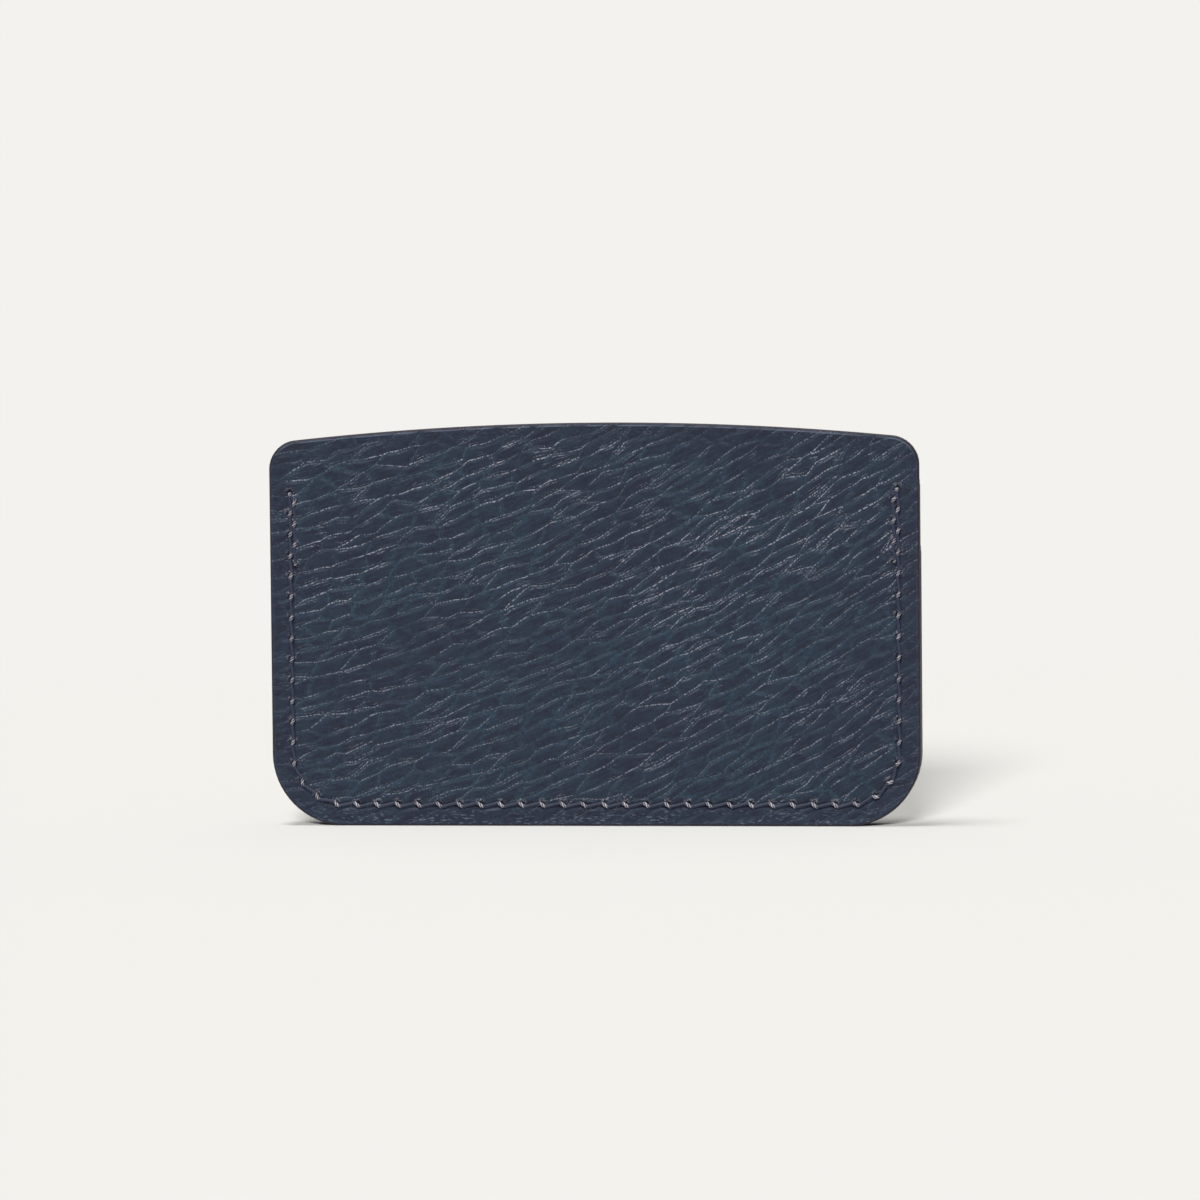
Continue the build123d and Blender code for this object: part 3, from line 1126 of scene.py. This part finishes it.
@dataclass
class Yarn:
    """One side of the lockstitch: a three-ply thread that zigzags from hole to hole.

    The plies turn once in 1.35 mm, a little coarser than the real ones, so that the twist shows.
    """

    node: str
    name: str
    seam: SeamLine
    side: Side
    levels: list[tuple[float, float]]
    radius: float = 0.27
    lay: float = 1.35
    zigzag: float = 0.30
    cross: float = 0.95
    step: float = 0.16
    sunk: float = 0.19
    crest: float = 0.10
    sag: float = 0.04
    tail: float = 0.30
    ply_waist: float = 0.80
    ply_bulge: float = 0.26
    # The painted highlight at the crossings: uneven from stitch to stitch, and weaker on upright stitches,
    # which face the light from above less.
    least_glint: float = 0.62
    upright_glint: float = 0.7
    upright_sway: float = 0.5

    def face_level(self, z: float) -> float:
        """The y of the leather that the thread lies on at a height."""
        return next(level for top, level in self.levels if z < top)

    def path(self, holes: list[Vector]) -> list[tuple[Vector, float]]:
        """The thread's middle line along one row.

        Args:
            holes: The row's needle holes, as (x, z).

        Returns:
            Places in space, each with the share of its painted highlight there.
        """
        found = []
        for number, (start, end) in enumerate(zip(holes, holes[1:])):
            reach = end - start
            along = reach.normalized()
            inward = Vector((-along.y, along.x))
            count = max(4, round(reach.length / self.step))
            level = abs(along.x)
            swing = self.upright_sway + (1 - self.upright_sway) * level
            # How strong the painted highlight is on this stitch.
            glint_strength = self.least_glint + (1 - self.least_glint) * (number * 11 % 13) / 12
            glint_strength *= self.upright_glint + (1 - self.upright_glint) * level
            for part in range(count):
                share = part / count
                mileage = share * reach.length
                sway, lift, glint_share = self.swing(mileage, reach.length)
                spot = start + along * mileage + inward * (sway * swing)
                found.append((self.lay_down(spot, lift), glint_share * glint_strength))
        found.append((self.lay_down(holes[-1], -self.tail), 0.0))
        return found

    def swing(self, mileage: float, reach: float) -> tuple[float, float, float]:
        """Where the thread lies in its stitch.

        Args:
            mileage: The distance from the stitch's first hole.
            reach: The stitch's length.

        Returns:
            The sideways offset, the height over the channel and the share of the painted highlight.
        """
        from_hole = mileage if mileage < reach / 2 else mileage - reach
        half = self.cross / 2
        if abs(from_hole) < half:
            share = from_hole / half
            sway = -self.zigzag * math.sin(share * math.pi / 2)
            top = math.cos(share * math.pi / 2)
            return sway, self.crest * top, top
        share = (mileage - half) / (reach - self.cross)
        return self.zigzag * (2 * share - 1), -self.sag * math.sin(share * math.pi), 0.0

    def lay_down(self, spot: Vector, lift: float) -> Vector:
        """A place in space for a place on the leather and a height over the channel."""
        level = self.face_level(spot.y)
        return Vector((spot.x, level + self.side.value * (lift - self.sunk), spot.y))

    def ring(self, bm: BMesh, ply: BMLayerItem) -> list[BMEdge]:
        """The thread's three-lobed section, drawn round the origin and facing along Z."""
        made = bmesh.ops.create_circle(bm, cap_ends=False, segments=12, radius=self.radius)
        for vert in made["verts"]:
            turn = math.atan2(vert.co.y, vert.co.x)
            crest = 0.5 + 0.5 * math.cos(3 * turn)
            vert.co *= self.ply_waist + self.ply_bulge * crest
            # Where the painted highlight on the ply crest goes.
            vert[ply] = crest
        return once(edge for vert in made["verts"] for edge in vert.link_edges)

    def sweep(self, bm: BMesh, path: list[tuple[Vector, float]], ply: BMLayerItem, glint_share: BMLayerItem) -> None:
        """Twists a straight thread with one turn per lay, and then bends it onto a path.

        Args:
            bm: The mesh to add to, empty so far.
            path: Places with their share of the painted highlight.
            ply: Layer for the crest of each ply, where the painted highlight goes.
            glint_share: Layer for the painted highlight at the crossings.
        """
        places = [place for place, _ in path]
        travelled = sum((after - before).length for before, after in zip(places, places[1:]))
        steps = len(places) - 1
        ring = self.ring(bm, ply)
        verts = once(vert for edge in ring for vert in edge.verts)
        bmesh.ops.edgeloop_fill(bm, edges=ring)
        spun = bmesh.ops.spin(
            bm,
            geom=[*verts, *ring],
            cent=(0, 0, 0),
            axis=(0, 0, 1),
            dvec=(0, 0, 1),
            angle=2 * math.pi * travelled / self.lay,
            steps=steps,
            use_duplicate=False,
        )
        bmesh.ops.edgeloop_fill(bm, edges=only(BMEdge, spun["geom_last"]))
        stances = [self.stance(places, number) for number in range(steps + 1)]
        for vert in bm.verts:
            number = round(vert.co.z)
            vert.co = stances[number] @ Vector((vert.co.x, vert.co.y, 0))
            vert[glint_share] = path[number][1]

    @staticmethod
    def stance(places: list[Vector], number: int) -> Matrix:
        """The frame of the thread's section at one place of its path, with its Z along the thread."""
        ahead = places[min(number + 1, len(places) - 1)]
        behind = places[max(number - 1, 0)]
        forward = (ahead - behind).normalized()
        flat = forward.cross(Vector((0, -1, 0))).normalized()
        basis = Matrix((flat, forward.cross(flat), forward)).transposed().to_4x4()
        return Matrix.Translation(places[number]) @ basis

    def holes(self) -> list[Vector]:
        """The holes in the order in which the one thread passes through them."""
        return [*reversed(self.seam.backtack(-1)), *self.seam.main_row(), *self.seam.backtack(1)]

    def build(self, material: Material) -> Object:
        """Makes the thread and lets it stand for its CAD node."""
        bm = bmesh.new()
        layers = bm.verts.layers.float
        ply, glint_share = layers.new("ply"), layers.new("glint_share")
        self.sweep(bm, self.path(self.holes()), ply, glint_share)
        bmesh.ops.triangulate(bm, faces=bm.faces, quad_method="SHORT_EDGE")
        turn_outwards(bm)
        return declare(finish_piece(bm, self.name, material), self.node, "seam_thread")


# ---------------------------------------------------------------------------------------- holder


@dataclass
class CardHolder:
    """The whole holder: three panels, three linings, two welts and the two threads of the seam."""

    leather: TumbledLeather = TumbledLeather()
    lining: SkiverLining = SkiverLining()
    edge: PaintedEdge = PaintedEdge()
    thread: BondedThread = BondedThread()
    lower_radius: float = 11.4
    crown_rise: float = 2.8
    upper_radius: float = 4.6
    seam_end_drop: float = 7.8

    def box(self, node: str) -> tuple[Vector, Vector]:
        """A CAD node's lowest and highest corner, in mm."""
        low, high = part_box(node)
        return Vector(low) / MM, Vector(high) / MM

    def outline(self, node: str) -> Outline:
        """The outline of a layer, from its CAD node's box."""
        low, high = self.box(node)
        width = high.x - low.x
        if node in ("rear_panel", "rear_lining"):
            side_top = high.z - self.crown_rise
            return Outline(width, side_top, self.crown_rise, self.lower_radius, self.upper_radius)
        return Outline(width, high.z, lower_radius=self.lower_radius)

    def seam(self) -> SeamLine:
        """The seam, from the rear panel's outline."""
        outline = self.outline("rear_panel")
        return SeamLine(outline.width, self.lower_radius, outline.side_top - self.seam_end_drop)

    def sheet(self, node: str, slot: str, side: Side, spacing: float, **more) -> Sheet:
        """A layer in the place of its CAD node."""
        low, high = self.box(node)
        return Sheet(
            node, f"{node}_leather", slot, self.outline(node), side, low.y, high.y, spacing, **more
        )

    def panels(self) -> list[Object]:
        """The three grained panels."""
        material = self.leather.material()
        relief = {side: self.leather.relief_group(f"{side.name.lower()} grain", side) for side in Side}
        seam = self.seam()
        panels = (
            ("rear_panel", "grained_leather", Side.REAR, 0.29),
            ("front_panel", "pocket_leather", Side.POCKET, 0.34),
            ("centre_panel", "pocket_leather", Side.POCKET, 0.42),
        )
        return [
            self.sheet(node, slot, side, spacing, seam=seam).build(material, relief[side])
            for node, slot, side, spacing in panels
        ]

    def linings(self) -> list[Object]:
        """The three thin linings."""
        material = self.lining.material()
        sides = {"rear": Side.POCKET, "centre": Side.REAR, "front": Side.REAR}
        return [
            self.sheet(f"{name}_lining", "lining_leather", side, 1.2, edge_round=0.1).build(material)
            for name, side in sides.items()
        ]

    def welts(self) -> list[Object]:
        """The two U-shaped strips."""
        material = self.edge.material()
        made = []
        for node in ("centre_welt", "front_welt"):
            low, high = self.box(node)
            welt = Welt(node, f"{node}_leather", self.outline(node), low.y, high.y)
            made.append(welt.build(material))
        return made

    def threads(self) -> list[Object]:
        """The needle thread on the rear face and the bobbin thread on the pocket side."""
        material = self.thread.material()
        seam = self.seam()
        rear, centre, front = (self.box(f"{name}_panel") for name in ("rear", "centre", "front"))
        top = rear[1].z
        rear_levels = [(2 * top, rear[0].y)]
        pocket_levels = [(front[1].z, front[1].y), (2 * top, centre[1].y)]
        return [
            Yarn("needle_thread", "needle_thread_yarn", seam, Side.REAR, rear_levels).build(material),
            Yarn("bobbin_thread", "bobbin_thread_yarn", seam, Side.POCKET, pocket_levels).build(material),
        ]

    def build(self) -> list[Object]:
        """Makes every piece."""
        return [*self.panels(), *self.linings(), *self.welts(), *self.threads()]


# ---------------------------------------------------------------------------------------- studio


@dataclass(frozen=True)
class Softbox:
    """A light far enough away to count as a soft sun.

    The strength is in watts per square metre and the spread in degrees; side is how far to the left of
    the front it stands, and height how high, both in degrees.
    """

    name: str
    strength: float
    spread: float
    side: float
    height: float

    def hang(self) -> Object:
        """Makes the light."""
        light = bpy.data.lights.new(self.name, "SUN")
        light.energy, light.angle = self.strength, math.radians(self.spread)
        lamp = bpy.data.objects.new(self.name, light)
        bpy.context.collection.objects.link(lamp)
        turn, rise = math.radians(self.side), math.radians(self.height)
        flat = math.cos(rise)
        towards = Vector((-math.sin(turn) * flat, -math.cos(turn) * flat, math.sin(rise)))
        lamp.rotation_mode = "QUATERNION"
        lamp.rotation_quaternion = towards.to_track_quat("Z", "Y")
        return lamp


@dataclass
class Studio:
    """A white table and backdrop, a large soft key from the upper left and a camera in front."""

    backdrop: str = "F3F2EE"
    azimuth: float = 7.0
    elevation: float = 2.5
    distance: float = 0.700
    roll: float = -0.55
    lens: float = 134.1
    aim: tuple[float, float] = (0.00081, 0.00322)
    target: float = 0.032
    floor_reach: float = 3.0
    floor_albedo: float = 0.492
    dome_strength: float = 0.30
    holder_lights: tuple[Softbox, ...] = (
        Softbox("key", strength=2.65, spread=16.0, side=12.0, height=64.0),
        Softbox("back light", strength=1.7, spread=30.0, side=200.0, height=42.0),
    )
    table_lights: tuple[Softbox, ...] = (
        Softbox("table top light", strength=2.34, spread=20.0, side=60.0, height=78.0),
        Softbox("table wash", strength=5.9, spread=14.0, side=1.5, height=24.0),
    )

    def camera(self) -> None:
        """The camera, turned and raised as it stood."""
        data = bpy.data.cameras.new("camera")
        data.lens, data.sensor_width = self.lens, 36.0
        data.clip_start, data.clip_end = 0.05, 20.0
        camera = bpy.data.objects.new("camera", data)
        bpy.context.collection.objects.link(camera)
        a, e = math.radians(self.azimuth), math.radians(self.elevation)
        back = Vector((math.sin(a) * math.cos(e), -math.cos(a) * math.cos(e), math.sin(e)))
        stance = (-back).to_track_quat("-Z", "Y") @ Quaternion((0, 0, 1), math.radians(self.roll))
        slide = stance @ Vector((self.aim[0], self.aim[1], 0))
        camera.rotation_mode = "QUATERNION"
        camera.rotation_quaternion = stance
        camera.location = Vector((0, 0, self.target)) + back * self.distance + slide
        bpy.context.scene.camera = camera

    def floor(self) -> None:
        """A matt white table that fades into the backdrop far behind the holder."""
        bm = bmesh.new()
        bmesh.ops.create_circle(bm, cap_ends=True, segments=64, radius=self.floor_reach)
        made, tree, position, _ = blank_material("matt_white_card")
        away = put(tree, VECTOR, position, operation="LENGTH", out="Value")
        fade = Ramp(0.25, 0.7).of(tree, away)
        tooth = put(tree, NOISE, position, named={"Scale": 900.0, "Detail": 2.0})
        shade = put(tree, RANGE, tooth, named={3: 0.995 * self.floor_albedo, 4: 1.005 * self.floor_albedo})
        white = linear(self.backdrop)
        tint = tuple(part / white[0] for part in white[:3])
        colour = put(tree, VECTOR, tint, named={"Scale": shade}, operation="SCALE")
        matt = put(tree, "ShaderNodeBsdfDiffuse", named={"Color": colour})
        glow = put(tree, "ShaderNodeEmission", linear(self.backdrop), 1.0)
        surface = put(tree, "ShaderNodeMixShader", fade, matt, glow)
        tree.links.new(surface, tree.nodes.new("ShaderNodeOutputMaterial").inputs["Surface"])
        mesh = bpy.data.meshes.new("floor")
        bm.to_mesh(mesh)
        bm.free()
        mesh.materials.append(made)
        floor = bpy.data.objects.new("floor", mesh)
        bpy.context.collection.objects.link(floor)

    def world(self) -> None:
        """The backdrop for the camera, and a dome that is bright above and dim in front for the rest."""
        world = bpy.data.worlds.new("studio")
        bpy.context.scene.world = world
        world.use_nodes = True
        tree = world.node_tree
        tree.nodes.clear()
        way = put(tree, "ShaderNodeTexCoord", out="Generated")
        right, back, up = (put(tree, PARTS, way, out=axis) for axis in "XYZ")
        above = Ramp(-0.1, 0.9, 0.12).of(tree, up)
        behind = Ramp(-0.9, 0.6, 0.45, 0.85).of(tree, back)
        beside = put(tree, RANGE, right, named={1: -1.0, 2: 1.0, 3: 1.1, 4: 0.85})
        level = fold(tree, "MULTIPLY", above, behind, beside, self.dome_strength * 2)
        dome = put(tree, "ShaderNodeBackground", linear("FFFDFA"), level)
        plain = put(tree, "ShaderNodeBackground", linear(self.backdrop), 1.0)
        seen = put(tree, "ShaderNodeLightPath", out="Is Camera Ray")
        surface = put(tree, "ShaderNodeMixShader", seen, dome, plain)
        tree.links.new(surface, tree.nodes.new("ShaderNodeOutputWorld").inputs["Surface"])

    def lights(self) -> None:
        """Hangs the lights: two for the holder, and two for the table alone."""
        for name, boxes, state in (
            ("table only", self.table_lights, "INCLUDE"),
            ("all but the table", self.holder_lights, "EXCLUDE"),
        ):
            group = bpy.data.collections.new(name)
            group.objects.link(bpy.data.objects["floor"])
            group.collection_objects[0].light_linking.link_state = state
            for box in boxes:
                box.hang().light_linking.receiver_collection = group

    def build(self) -> None:
        """Sets the whole studio up."""
        self.camera()
        self.floor()
        self.world()
        self.lights()
        bpy.context.scene.view_settings.view_transform = "Standard"


def main() -> None:
    """Builds the holder and the studio."""
    logging.basicConfig(level=logging.INFO, format="%(message)s")
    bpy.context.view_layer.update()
    Studio().build()
    pieces = CardHolder().build()
    LOG.info("%d pieces", len(pieces))
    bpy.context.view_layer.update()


if __name__ == "__main__":
    main()
